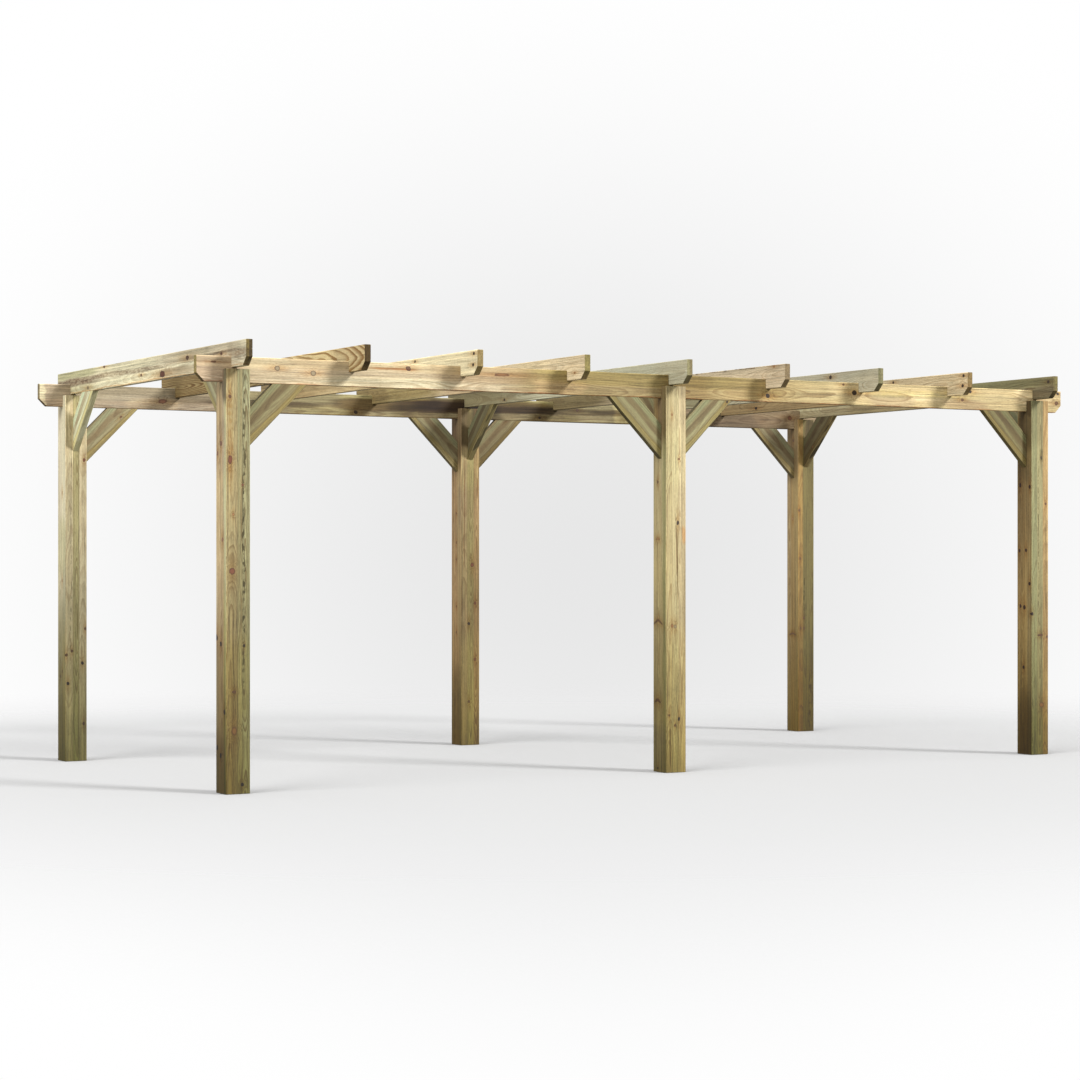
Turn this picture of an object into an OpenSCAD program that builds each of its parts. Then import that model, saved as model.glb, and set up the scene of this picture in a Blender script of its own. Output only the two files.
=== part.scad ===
// Free-standing garden pergola in pressure-treated softwood.
// Six square posts stand in two rows. A long beam drops into the slotted heads of
// each row, nine notched rafters cross both beams, and 45 degree braces stiffen
// every post along its beam and across to the rafter above it.
// Frame: +X along the beams, +Y from the front row to the rear row, +Z up.
// The origin is on the ground under the middle of the pergola.

/* [Layout] */
// Spacing of neighbouring posts along a beam, centre to centre
post_spacing = 2800; // [1800:10:3600]
// Spacing of the front and rear rows, centre to centre
row_spacing = 2580; // [1500:10:3600]
// Height of a post, from the ground to the top of its slotted head
post_height = 2290; // [1900:10:2800]
// How far a beam runs on past the outer face of an end post
beam_overhang = 150; // [60:5:400]
// How far a rafter runs on past the outer face of a post
rafter_overhang = 151; // [60:1:400]

/* [Posts] */
// Side of a square post
post_w = 140; // [100:5:200]
// Depth of the slot in a post head that the beam drops into
head_slot_depth = 70; // [40:5:100]
// Gap left on each side of a beam in its post slot
head_slot_clearance = 0.5; // [0.2:0.1:2]

/* [Beams] */
// Thickness of a beam
beam_t = 38; // [28:1:60]
// Depth of a beam
beam_h = 140; // [120:5:220]
// Size of the 45 degree cut under each end of a beam
beam_end_cut = 46; // [10:1:80]

/* [Rafters] */
// Thickness of a rafter
rafter_t = 38; // [28:1:60]
// Depth of a rafter
rafter_h = 140; // [100:5:220]
// Gap left between a post head and the rafter above it
rafter_head_gap = 10; // [2:1:20]
// Gap left on each side of a beam in a rafter notch
rafter_notch_clearance = 0.5; // [0.2:0.1:2]
// Size of the 45 degree cut under each end of a rafter
rafter_end_cut = 46; // [10:1:80]

/* [Braces] */
// Thickness of a brace
brace_t = 38; // [28:1:60]
// Width of a brace, measured square across the board
brace_w = 145; // [70:5:160]
// Distance that a brace reaches along the post and along the timber it holds up
brace_reach = 360; // [280:5:600]

/* [Hidden] */

// Rafter spaces in each bay between two posts
rafter_spaces = 4;
// Rafter that stands over the middle posts
middle_rafter = 5;
// How far a cutting shape runs past the face that it cuts through
cut_margin = 10;

// Heights of the seats
beam_z = post_height - head_slot_depth;
beam_top = beam_z + beam_h;
rafter_z = post_height + rafter_head_gap;
rafter_top = rafter_z + rafter_h;
rafter_notch_depth = beam_top - rafter_z;

// Cut sizes that follow the piece they hold
head_slot_w = beam_t + 2 * head_slot_clearance;
rafter_notch_w = beam_t + 2 * rafter_notch_clearance;
brace_inner_reach = brace_reach - brace_w * sqrt(2);

// Plan positions
row_y = row_spacing / 2;
post_face = post_w / 2;
beam_end_x = post_spacing + post_face + beam_overhang;
rafter_end_y = row_y + post_face + rafter_overhang;
rafter_pitch = post_spacing / rafter_spaces;

// Directions
left = -1;
right = 1;
front = -1;
rear = 1;

// Timber colours
post_colour = [0.80, 0.71, 0.50];
beam_colour = [0.82, 0.69, 0.47];
rafter_colour = [0.76, 0.67, 0.48];
brace_colour = [0.62, 0.59, 0.41];

// Outline of a board that stands on edge, with both lower corners cut at 45 degrees
function tapered_board(half_length, low, high, cut) = [
    [-half_length, high],
    [-half_length, low + cut],
    [-half_length + cut, low],
    [half_length - cut, low],
    [half_length, low + cut],
    [half_length, high]
];

// Outline of a brace in the corner between a post face and the timber above it
brace_outline = [
    [0, -brace_inner_reach],
    [0, -brace_reach],
    [brace_reach, 0],
    [brace_inner_reach, 0]
];

// Stands an outline up in the XZ plane, with the board's thickness centred on Y
module board_along_x(thickness) {
    translate([0, thickness / 2, 0])
        rotate([90, 0, 0])
            linear_extrude(height = thickness)
                children();
}

// Stands an outline up in the YZ plane, with the board's thickness centred on X
module board_along_y(thickness) {
    translate([-thickness / 2, 0, 0])
        rotate([90, 0, 90])
            linear_extrude(height = thickness)
                children();
}

// Square post with an open slot across its head for the beam
module slotted_post(x, y) {
    color(post_colour)
        translate([x, y, 0])
            difference() {
                translate([-post_face, -post_face, 0])
                    cube([post_w, post_w, post_height]);
                translate([-post_face - cut_margin, -head_slot_w / 2, beam_z])
                    cube([post_w + 2 * cut_margin, head_slot_w, head_slot_depth + cut_margin]);
            }
}

// Beam that lies in the slots of one row of posts
module long_beam(y) {
    color(beam_colour)
        translate([0, y, 0])
            board_along_x(beam_t)
                polygon(tapered_board(beam_end_x, beam_z, beam_top, beam_end_cut));
}

// Rafter notched over both beams, numbered from the left end
module notched_rafter(number) {
    color(rafter_colour)
        translate([(number - middle_rafter) * rafter_pitch, 0, 0])
            board_along_y(rafter_t)
                difference() {
                    polygon(tapered_board(rafter_end_y, rafter_z, rafter_top, rafter_end_cut));
                    for (y = [-row_y, row_y])
                        translate([y - rafter_notch_w / 2, rafter_z - cut_margin])
                            square([rafter_notch_w, rafter_notch_depth + cut_margin]);
                }
}

// Brace from the side of a post up to the underside of its beam
module beam_brace(post_x, row, side) {
    color(brace_colour)
        translate([post_x + side * post_face, row * row_y, beam_z])
            mirror([side < 0 ? 1 : 0, 0, 0])
                board_along_x(brace_t)
                    polygon(brace_outline);
}

// Brace from the inner face of a post up to the underside of the rafter above it
module rafter_brace(post_x, row) {
    color(brace_colour)
        translate([post_x, row * (row_y - post_face), rafter_z])
            mirror([0, row > 0 ? 1 : 0, 0])
                board_along_y(brace_t)
                    polygon(brace_outline);
}

module front_left_post() {
    slotted_post(-post_spacing, front * row_y);
}

module front_middle_post() {
    slotted_post(0, front * row_y);
}

module front_right_post() {
    slotted_post(post_spacing, front * row_y);
}

module rear_left_post() {
    slotted_post(-post_spacing, rear * row_y);
}

module rear_middle_post() {
    slotted_post(0, rear * row_y);
}

module rear_right_post() {
    slotted_post(post_spacing, rear * row_y);
}

module front_beam() {
    long_beam(front * row_y);
}

module rear_beam() {
    long_beam(rear * row_y);
}

module rafter_1() {
    notched_rafter(1);
}

module rafter_2() {
    notched_rafter(2);
}

module rafter_3() {
    notched_rafter(3);
}

module rafter_4() {
    notched_rafter(4);
}

module rafter_5() {
    notched_rafter(5);
}

module rafter_6() {
    notched_rafter(6);
}

module rafter_7() {
    notched_rafter(7);
}

module rafter_8() {
    notched_rafter(8);
}

module rafter_9() {
    notched_rafter(9);
}

module front_left_beam_brace() {
    beam_brace(-post_spacing, front, right);
}

module front_middle_left_beam_brace() {
    beam_brace(0, front, left);
}

module front_middle_right_beam_brace() {
    beam_brace(0, front, right);
}

module front_right_beam_brace() {
    beam_brace(post_spacing, front, left);
}

module rear_left_beam_brace() {
    beam_brace(-post_spacing, rear, right);
}

module rear_middle_left_beam_brace() {
    beam_brace(0, rear, left);
}

module rear_middle_right_beam_brace() {
    beam_brace(0, rear, right);
}

module rear_right_beam_brace() {
    beam_brace(post_spacing, rear, left);
}

module front_left_rafter_brace() {
    rafter_brace(-post_spacing, front);
}

module front_middle_rafter_brace() {
    rafter_brace(0, front);
}

module front_right_rafter_brace() {
    rafter_brace(post_spacing, front);
}

module rear_left_rafter_brace() {
    rafter_brace(-post_spacing, rear);
}

module rear_middle_rafter_brace() {
    rafter_brace(0, rear);
}

module rear_right_rafter_brace() {
    rafter_brace(post_spacing, rear);
}

front_left_post();
front_middle_post();
front_right_post();
rear_left_post();
rear_middle_post();
rear_right_post();
front_beam();
rear_beam();
rafter_1();
rafter_2();
rafter_3();
rafter_4();
rafter_5();
rafter_6();
rafter_7();
rafter_8();
rafter_9();
front_left_beam_brace();
front_middle_left_beam_brace();
front_middle_right_beam_brace();
front_right_beam_brace();
rear_left_beam_brace();
rear_middle_left_beam_brace();
rear_middle_right_beam_brace();
rear_right_beam_brace();
front_left_rafter_brace();
front_middle_rafter_brace();
front_right_rafter_brace();
rear_left_rafter_brace();
rear_middle_rafter_brace();
rear_right_rafter_brace();
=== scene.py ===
"""Wooden pergola: six laminated posts, two beams, nine notched rafters and fourteen braces."""

import math
import random

import bmesh
import bpy
from mathutils import Matrix, Vector


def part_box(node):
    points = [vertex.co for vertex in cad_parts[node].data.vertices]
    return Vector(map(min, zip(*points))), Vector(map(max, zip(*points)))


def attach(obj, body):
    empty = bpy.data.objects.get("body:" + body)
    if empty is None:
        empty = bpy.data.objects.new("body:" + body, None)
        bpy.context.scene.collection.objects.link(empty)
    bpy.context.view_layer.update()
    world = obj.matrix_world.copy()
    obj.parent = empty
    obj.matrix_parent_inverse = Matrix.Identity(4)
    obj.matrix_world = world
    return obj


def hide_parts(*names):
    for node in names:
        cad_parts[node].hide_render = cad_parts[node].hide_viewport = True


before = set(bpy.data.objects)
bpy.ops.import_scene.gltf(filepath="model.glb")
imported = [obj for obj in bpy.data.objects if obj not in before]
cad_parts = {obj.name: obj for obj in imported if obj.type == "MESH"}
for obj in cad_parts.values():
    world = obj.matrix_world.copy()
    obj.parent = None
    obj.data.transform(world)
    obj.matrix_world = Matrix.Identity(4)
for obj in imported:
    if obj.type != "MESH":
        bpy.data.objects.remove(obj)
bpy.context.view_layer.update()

MM = 0.001
UP = Vector((0, 0, 1))
RIGHT = Vector((1, 0, 0))
BACK = Vector((0, 1, 0))
BRACE_WIDTH = 145 * MM

# How far the long edges and the sawn cuts are eased.
ARRIS_ROUND = 3.5 * MM
CUT_ROUND = 1.2 * MM

# Angles in radians: faces this level are one flat side, and edges this sharp are eased.
FLAT = 0.005
SHARP = 0.3
SHARP_CUT = 0.7

# How parallel two directions are that count as one, and how near two places are.
PARALLEL = 0.99
SAME_SPOT = 0.01 * MM
ON_PLANE = 0.001 * MM

# Drying checks in millimetres: how they open, and how far the blade that cuts one stands proud and wanders.
CHECK_OPENING = (1.4, 2.4)
CHECK_DEPTH = 7
CHECK_PROUD = 1
CHECK_SWEEP = 2.5
CHECK_WAVER = 0.5

# The number of bends in that blade, and how narrow it gets at its tips and at its cutting edge.
CHECK_BENDS = 9
CHECK_TIP = 0.06
CHECK_EDGE = 0.08

# The finish's map in metres: how long one stretch of timber is, and how far apart its sides are laid.
STRETCH = 1.2
APART = 10.0
MAP_MARGIN = 0.003


# ---------------------------------------------------------------- wiring of the wood finishes


class Wiring:
    """Adds nodes to one node tree; every input may be a number, a tuple or another node's output."""

    def __init__(self, tree):
        self.tree = tree

    def node(self, kind, settings=(), **inputs):
        made = self.tree.nodes.new(kind)
        for name, value in dict(settings).items():
            setattr(made, name, value)
        for key, value in inputs.items():
            self.feed(made.inputs[key.replace("_", " ")], value)
        return made

    def feed(self, socket, value):
        if isinstance(value, bpy.types.NodeSocket):
            self.tree.links.new(value, socket)
        elif socket.type == "RGBA" and len(value) == 3:
            socket.default_value = (*value, 1)
        else:
            socket.default_value = value

    def math(self, operation, *values, clamp=False):
        made = self.tree.nodes.new("ShaderNodeMath")
        made.operation = operation
        made.use_clamp = clamp
        for socket, value in zip(made.inputs, values):
            self.feed(socket, value)
        return made.outputs[0]

    def vector(self, operation, *values):
        made = self.tree.nodes.new("ShaderNodeVectorMath")
        made.operation = operation
        for socket, value in zip(made.inputs, values):
            self.feed(socket, value)
        return made.outputs["Value" if operation in ("LENGTH", "DOT_PRODUCT") else "Vector"]

    def stretch(self, vector, factor):
        made = self.tree.nodes.new("ShaderNodeVectorMath")
        made.operation = "SCALE"
        self.feed(made.inputs["Vector"], vector)
        self.feed(made.inputs["Scale"], factor)
        return made.outputs["Vector"]

    def parts(self, vector):
        """The X, Y and Z of a vector."""
        return self.node("ShaderNodeSeparateXYZ", Vector=vector).outputs

    def ease(self, value, start, end, low=0.0, high=1.0):
        """low before start, high after end, and a smooth step between them."""
        made = self.tree.nodes.new("ShaderNodeMapRange")
        made.interpolation_type = "SMOOTHSTEP"
        given = {"Value": value, "From Min": start, "From Max": end, "To Min": low, "To Max": high}
        for name, number in given.items():
            self.feed(made.inputs[name], number)
        return made.outputs["Result"]

    def vary(self, base, pattern, amount):
        """base, raised and lowered by a pattern that is a half on average."""
        return self.math("MULTIPLY_ADD", self.math("SUBTRACT", pattern, 0.5), amount, base)

    def grain(self, point, across, along, detail=1.0, colour=False):
        """Noise with this many patches a metre across the timber and along it."""
        made = self.tree.nodes.new("ShaderNodeTexNoise")
        self.feed(made.inputs["Vector"], self.vector("MULTIPLY", point, (across, across, along)))
        made.inputs["Scale"].default_value = 1.0
        made.inputs["Detail"].default_value = detail
        return made.outputs["Color" if colour else "Fac"]

    def blend(self, factor, first, second):
        """A colour between first and second."""
        made = self.tree.nodes.new("ShaderNodeMix")
        made.data_type = "RGBA"
        for index, value in ((0, factor), (6, first), (7, second)):
            self.feed(made.inputs[index], value)
        return made.outputs[2]

    def tinted(self, factor, colour, tint):
        """The colour, and where factor is one the colour multiplied by the tint."""
        return self.blend(factor, colour, self.vector("MULTIPLY", colour, tint))

    def choose(self, factor, first, second):
        """A vector between first and second."""
        made = self.tree.nodes.new("ShaderNodeMix")
        made.data_type = "VECTOR"
        for index, value in ((0, factor), (4, first), (5, second)):
            self.feed(made.inputs[index], value)
        return made.outputs[1]

    def face_slope(self, along):
        """How squarely a flat face looks along the timber: none on a side, one on a sawn end."""
        normal = self.node("ShaderNodeNewGeometry").outputs["True Normal"]
        return self.math("ABSOLUTE", self.vector("DOT_PRODUCT", normal, along))

    def group(self, group, **inputs):
        made = self.tree.nodes.new("ShaderNodeGroup")
        made.node_tree = group
        for key, value in inputs.items():
            self.feed(made.inputs[key.replace("_", " ")], value)
        return made.outputs


def new_group(name, inputs, outputs):
    """An empty node group with these named inputs and outputs, with its wiring and its two end nodes."""
    tree = bpy.data.node_groups.new(name, "ShaderNodeTree")
    kinds = {"f": "NodeSocketFloat", "v": "NodeSocketVector", "c": "NodeSocketColor"}
    for label, kind in inputs:
        tree.interface.new_socket(label, in_out="INPUT", socket_type=kinds[kind])
    for label, kind in outputs:
        tree.interface.new_socket(label, in_out="OUTPUT", socket_type=kinds[kind])
    start = tree.nodes.new("NodeGroupInput").outputs
    end = tree.nodes.new("NodeGroupOutput").inputs
    return tree, Wiring(tree), start, end


KNOT_RINGS = 2600.0
THINNEST_KNOT = 0.2 * MM


def knot_group():
    """One branch knot, as a tapered peg from a face into the timber: it parts the grain round itself."""
    tree, wire, start, end = new_group(
        "branch_knot",
        [("Point", "v"), ("Lump", "f"), ("Centre", "v"), ("Inward", "v"), ("Radius", "f"), ("Depth", "f"),
         ("Shape", "v"), ("Droop", "f"), ("Heart", "c"), ("Rim", "c"), ("Push", "f"), ("Mask", "f"),
         ("Colour", "c"), ("Halo", "f")],
        [("Push", "f"), ("Mask", "f"), ("Colour", "c"), ("Halo", "f")],
    )
    offset = wire.vector("SUBTRACT", start["Point"], start["Centre"])
    depth = wire.vector("DOT_PRODUCT", offset, start["Inward"])
    across = wire.vector("SUBTRACT", offset, wire.stretch(start["Inward"], depth))
    level = wire.vector("LENGTH", wire.vector("MULTIPLY", across, (1.0, 1.0, 0.0)))
    hang = wire.node("ShaderNodeCombineXYZ", Z=wire.math("MULTIPLY", level, start["Droop"])).outputs[0]
    shaped = wire.vector("MULTIPLY", wire.vector("ADD", across, hang), start["Shape"])
    distance = wire.vector("LENGTH", shaped)
    taper = wire.ease(wire.math("DIVIDE", depth, start["Depth"]), -0.2, 1.0, 1.0, 0.02)
    uneven = wire.math("MULTIPLY_ADD", start["Lump"], 0.7, 0.65)
    radius = wire.math("MULTIPLY", wire.math("MULTIPLY", start["Radius"], taper), uneven)
    thick = wire.math("MAXIMUM", radius, THINNEST_KNOT)

    # The peg itself: a ringed heart inside a dark rim of bark.
    reach = wire.math("DIVIDE", distance, thick)
    inside = wire.ease(reach, 0.86, 1.1, 1.0, 0.0)
    rings = wire.math("SINE", wire.math("MULTIPLY", distance, KNOT_RINGS))
    rim = wire.ease(reach, 0.45, 1.0)
    shade = wire.math("MULTIPLY_ADD", rings, 0.16, rim, clamp=True)
    colour = wire.blend(shade, start["Heart"], start["Rim"])

    # The wood round it: grain pushed aside, and a long resin halo above and below.
    near = wire.math("EXPONENT", wire.math("MULTIPLY", wire.math("MULTIPLY", reach, reach), -0.28))
    flow = wire.vector("LENGTH", wire.vector("MULTIPLY", shaped, (1.0, 1.0, 0.3)))
    pull = wire.math("DIVIDE", flow, thick)
    halo = wire.math("EXPONENT", wire.math("MULTIPLY", wire.math("MULTIPLY", pull, pull), -0.45))
    pushed = wire.math("MULTIPLY_ADD", near, wire.math("MULTIPLY", radius, 1.25), start["Push"])
    wire.feed(end["Push"], pushed)
    wire.feed(end["Mask"], wire.math("MAXIMUM", inside, start["Mask"]))
    wire.feed(end["Colour"], wire.blend(inside, start["Colour"], colour))
    wire.feed(end["Halo"], wire.math("MAXIMUM", halo, start["Halo"]))
    return tree


def stain_and_light_group():
    """One place with a stain mark, a bleached patch, painted shade or painted light: it multiplies the
    wood's colour by a tint inside a soft-edged block.
    """
    tree, wire, start, end = new_group(
        "stain_and_painted_light_place",
        [("Point", "v"), ("Drift", "v"), ("Centre", "v"), ("Reach", "v"), ("Outward", "v"), ("Spill", "f"),
         ("Soft", "f"), ("Broken", "f"), ("Dash", "f"), ("Tint", "c"), ("Colour", "c")],
        [("Colour", "c")],
    )
    offset = wire.vector("SUBTRACT", wire.vector("ADD", start["Point"], start["Drift"]), start["Centre"])
    part = wire.vector("DIVIDE", offset, start["Reach"])
    span = wire.vector("LENGTH", wire.vector("MULTIPLY", part, part))
    inner = wire.math("SUBTRACT", 1.0, start["Soft"])
    outer = wire.math("ADD", 1.0, start["Soft"])
    mask = wire.ease(span, inner, outer, 1.0, 0.0)
    dashes = wire.math("MULTIPLY_ADD", start["Broken"], wire.math("SUBTRACT", start["Dash"], 1.0), 1.0)
    normal = wire.node("ShaderNodeNewGeometry").outputs["Normal"]
    facing = wire.ease(wire.vector("DOT_PRODUCT", normal, start["Outward"]), 0.5, 0.85)
    mask = wire.math("MULTIPLY", mask, wire.math("MAXIMUM", facing, start["Spill"]))
    tinted_colour = wire.tinted(wire.math("MULTIPLY", mask, dashes), start["Colour"], start["Tint"])
    wire.feed(end["Colour"], tinted_colour)
    return tree


def growth_ring_group():
    """Growth rings round a pith that wanders along the log: where the dark late wood of each year lies."""
    tree, wire, start, end = new_group(
        "growth_rings",
        [("Point", "v"), ("Shift", "v"), ("Pith", "v"), ("Lean", "v"), ("Year", "f"), ("Push", "f")],
        [("Late", "f"), ("Radius", "f")],
    )
    shifted = wire.vector("ADD", start["Point"], start["Shift"])
    along = wire.parts(start["Point"])["Z"]
    wander = wire.grain(shifted, 0.0, 1.7, colour=True)
    sweep = wire.vector("MULTIPLY", wire.vector("SUBTRACT", wander, (0.5, 0.5, 0.5)), (0.055, 0.055, 0.0))
    line = wire.vector("ADD", wire.vector("ADD", start["Pith"], sweep), wire.stretch(start["Lean"], along))
    spoke = wire.vector("MULTIPLY", wire.vector("SUBTRACT", start["Point"], line), (1.0, 1.0, 0.0))
    ripple = wire.grain(shifted, 18.0, 2.2)
    grit = wire.grain(shifted, 190.0, 11.0)
    radius = wire.vary(wire.vector("LENGTH", spoke), ripple, 9 * MM)
    radius = wire.vary(radius, grit, 1.6 * MM)
    pushed = wire.math("ADD", radius, start["Push"])
    years = wire.math("DIVIDE", pushed, start["Year"])
    line_noise = {"noise_dimensions": "1D"}
    season = wire.node("ShaderNodeTexNoise", line_noise, W=wire.math("MULTIPLY", years, 0.45), Scale=1.0)
    years = wire.math("MULTIPLY_ADD", season.outputs["Fac"], 1.6, years)
    part = wire.math("FRACT", years)
    rise = wire.ease(part, 0.25, 0.86)
    drop = wire.ease(part, 0.93, 1.0, 1.0, 0.0)
    strength = wire.node("ShaderNodeTexWhiteNoise", line_noise, W=wire.math("FLOOR", years))
    late = wire.math("MULTIPLY", wire.math("MULTIPLY", rise, drop),
                     wire.math("MULTIPLY_ADD", strength.outputs["Value"], 0.5, 0.5))
    wire.feed(end["Late"], late)
    wire.feed(end["Radius"], radius)
    return tree


# What each part of the grain does to the colour of the wood it lies in, with the painted highlight on the
# arrises and painted shade on the 45° end cuts.
LATE_WOOD = (0.44, 0.32, 0.20)
RESIN_FLECK = (0.5, 0.42, 0.34)
KNOT_HALO = (0.72, 0.52, 0.32)
# Darkens end grain; the rafters' downward 45° chamfers get it in full, and there it is also painted shade.
END_GRAIN_AND_CHAMFER_SHADE = (0.30, 0.26, 0.17)
# Lightens the arrises: wear, and a painted highlight along the edges.
WORN_AND_HIGHLIT_ARRIS = (1.25, 1.22, 1.16)
GLUE_LINE = (0.4, 0.34, 0.28)


def planed_softwood_group(rings):
    """Planed, pressure-treated softwood: heart and sap, growth rings, fibres, knots, and arrises with wear
    and a painted highlight.
    """
    tree, wire, start, end = new_group(
        "planed_softwood",
        [("Point", "v"), ("Shift", "v"), ("Pith", "v"), ("Lean", "v"), ("Year", "f"), ("Figure", "f"),
         ("Heart", "c"), ("Sap", "c"), ("Heartwood", "f"), ("Push", "f"), ("Knots", "f"),
         ("Knot Colour", "c"), ("Halo", "f"), ("Section", "v"), ("Along", "v"), ("Streaks", "f")],
        [("Colour", "c"), ("Roughness", "f"), ("Height", "f")],
    )
    ring_inputs = ("Point", "Shift", "Pith", "Lean", "Year", "Push")
    ring = wire.group(rings, **{name: start[name] for name in ring_inputs})
    shifted = wire.vector("ADD", start["Point"], start["Shift"])
    cloud = wire.grain(shifted, 9.0, 0.8, 2.0)
    streak = wire.grain(shifted, 75.0, 0.9, 2.0)
    hair = wire.grain(shifted, 120.0, 2.2, 2.0)
    stipple = wire.grain(shifted, 230.0, 55.0)
    fibre = wire.grain(shifted, 520.0, 14.0)
    fleck = wire.grain(shifted, 310.0, 24.0, 0.0)

    # Heart and sap, with the dark late wood of each ring.
    edge = wire.vary(ring["Radius"], cloud, 0.05)
    heart = wire.ease(edge, wire.math("SUBTRACT", start["Heartwood"], 9 * MM),
                      wire.math("ADD", start["Heartwood"], 9 * MM), 1.0, 0.0)
    ground = wire.blend(heart, start["Sap"], start["Heart"])
    wood = wire.tinted(wire.math("MULTIPLY", ring["Late"], start["Figure"]), ground, LATE_WOOD)

    # Lighter and darker streaks, from broad clouds down to single fibres.
    tone = wire.vary(1.04, streak, start["Streaks"])
    tone = wire.vary(tone, cloud, 0.7)
    tone = wire.vary(tone, fibre, 0.3)
    tone = wire.vary(tone, stipple, 0.55)
    grain_line = wire.ease(wire.math("ABSOLUTE", wire.math("SUBTRACT", hair, 0.5)), 0.0, 0.05, 1.0, 0.0)
    tone = wire.math("MULTIPLY_ADD", wire.math("MULTIPLY", grain_line, start["Streaks"]), -0.26, tone)
    wood = wire.stretch(wood, tone)

    # Resin flecks, knots, the end grain with painted shade on its downward 45° cuts, and the arris wear with
    # a painted highlight.
    wood = wire.tinted(wire.ease(fleck, 0.66, 0.76, 0.0, 0.4), wood, RESIN_FLECK)
    wood = wire.tinted(wire.math("MULTIPLY", start["Halo"], 0.75), wood, KNOT_HALO)
    wood = wire.blend(start["Knots"], wood, start["Knot Colour"])
    slope = wire.face_slope(start["Along"])
    # End grain darkens, fully on 45° cuts: on the rafters' downward chamfers that is painted shade.
    end_grain_and_chamfer_shade = wire.math("MULTIPLY", wire.ease(slope, 0.35, 0.68), wire.ease(slope, 0.75, 0.95, 1.0, 0.86))
    wood = wire.tinted(end_grain_and_chamfer_shade, wood, END_GRAIN_AND_CHAMFER_SHADE)
    half = wire.vector("MULTIPLY", start["Section"], (0.5, 0.5, 0.5))
    off_centre = wire.vector("ABSOLUTE", wire.vector("SUBTRACT", start["Point"], half))
    inset = wire.parts(wire.vector("SUBTRACT", half, off_centre))
    arris = wire.ease(wire.math("MAXIMUM", inset["X"], inset["Y"]), 1 * MM, 6.5 * MM, 1.0, 0.0)
    # Painted highlight and wear along the arrises.
    worn_and_highlit = wire.math("MULTIPLY", arris, wire.ease(streak, 0.3, 0.62, 0.2, 0.8))
    wire.feed(end["Colour"], wire.tinted(worn_and_highlit, wood, WORN_AND_HIGHLIT_ARRIS))

    rough = wire.math("MULTIPLY_ADD", ring["Late"], -0.1, 0.74)
    rough = wire.vary(rough, fibre, 0.2)
    rough = wire.math("MULTIPLY_ADD", start["Knots"], -0.16, rough)
    wire.feed(end["Roughness"], wire.math("MULTIPLY_ADD", end_grain_and_chamfer_shade, 0.12, rough, clamp=True))
    height = wire.math("MULTIPLY_ADD", ring["Late"], 0.35, wire.math("MULTIPLY", fibre, 0.5))
    height = wire.math("MULTIPLY_ADD", fleck, -0.25, height)
    wire.feed(end["Height"], wire.math("MULTIPLY_ADD", start["Knots"], 0.6, height))
    return tree


KNOT = knot_group()
STAIN_AND_LIGHT = stain_and_light_group()
SOFTWOOD = planed_softwood_group(growth_ring_group())

KNOT_SWELL = 1.15
KNOT_DEPTH = 60 * MM

# A tinted block's depth when it colours one face and stops at its arrises, and how deep such a block is, in
# mm; the blocks are stain marks, painted shade and painted light.
ONE_FACE = 0
BOTTOMLESS = 1000

# Knot finishes: the colour in the middle and the colour of the bark ring round it.
KNOT_FINISHES = {
    "red": ((0.17, 0.06, 0.028), (0.07, 0.026, 0.014)),
    "orange": ((0.28, 0.14, 0.05), (0.12, 0.05, 0.02)),
    "brown": ((0.13, 0.062, 0.028), (0.055, 0.028, 0.015)),
    "dark": ((0.034, 0.021, 0.013), (0.02, 0.012, 0.008)),
    "grey": ((0.27, 0.21, 0.12), (0.085, 0.052, 0.03)),
}


class Place:
    """Where a timber lies: its first corner, its across, inward and along directions, and its size."""

    def __init__(self, origin, across, inward, along, section, length):
        self.origin = Vector(origin)
        self.axes = (Vector(across), Vector(inward), Vector(along))
        self.section = section
        self.length = length

    def mapping(self):
        """(location, rotation, scale) of a Mapping node from the shared frame to the timber's own."""
        turn = Matrix(self.axes)
        flip = -1.0 if turn.determinant() < 0 else 1.0
        scale = Vector((1, 1, flip))
        location = -(turn @ self.origin)
        return location, (turn @ Matrix.Diagonal(scale)).to_euler("XYZ"), scale

    def local(self, point):
        return Matrix(self.axes) @ (Vector(point) - self.origin)

    def width(self, face):
        """The width of one long face, in metres."""
        return self.section[1 if face in ("left", "right") else 0]


def face_point(place, face, across, along):
    """(centre, inward direction) in timber coordinates of a mark on one face, from millimetres."""
    width, thickness = place.section
    across, along = across * MM, along * MM
    return {
        "front": ((across, 0, along), (0, 1, 0)),
        "back": ((across, thickness, along), (0, -1, 0)),
        "left": ((0, across, along), (1, 0, 0)),
        "right": ((width, across, along), (-1, 0, 0)),
    }[face]


def add_knots(wire, point, place, knots):
    """A timber's knots: how they push the grain, where they are, and their colour and halo."""
    lump = wire.grain(point, 70.0, 50.0)
    done = {"Push": 0.0, "Mask": 0.0, "Colour": (0.1, 0.05, 0.03), "Halo": 0.0}
    for face, across, along, radius, kind, *shape in knots:
        centre, inward = face_point(place, face, across, along)
        heart, rim = KNOT_FINISHES[kind]
        wide, tall, droop = shape + [1.0, 1.15, 0.0][len(shape):]
        widths = [1.0, 1.0, 1.0 / tall]
        widths[1 if face in ("left", "right") else 0] = 1.0 / wide
        made = wire.group(KNOT, Point=point, Lump=lump, Centre=centre, Inward=inward,
                          Radius=radius * KNOT_SWELL * MM, Depth=KNOT_DEPTH, Shape=widths, Droop=droop,
                          Heart=heart, Rim=rim, **done)
        done = {key: made[key] for key in done}
    return done


# How far one timber, and one strip of it, lies from the next in the patterns, in metres each way.
STEPS = ((3.7, 1.9), (1.3, 4.1), (5.9, 7.7))


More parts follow.
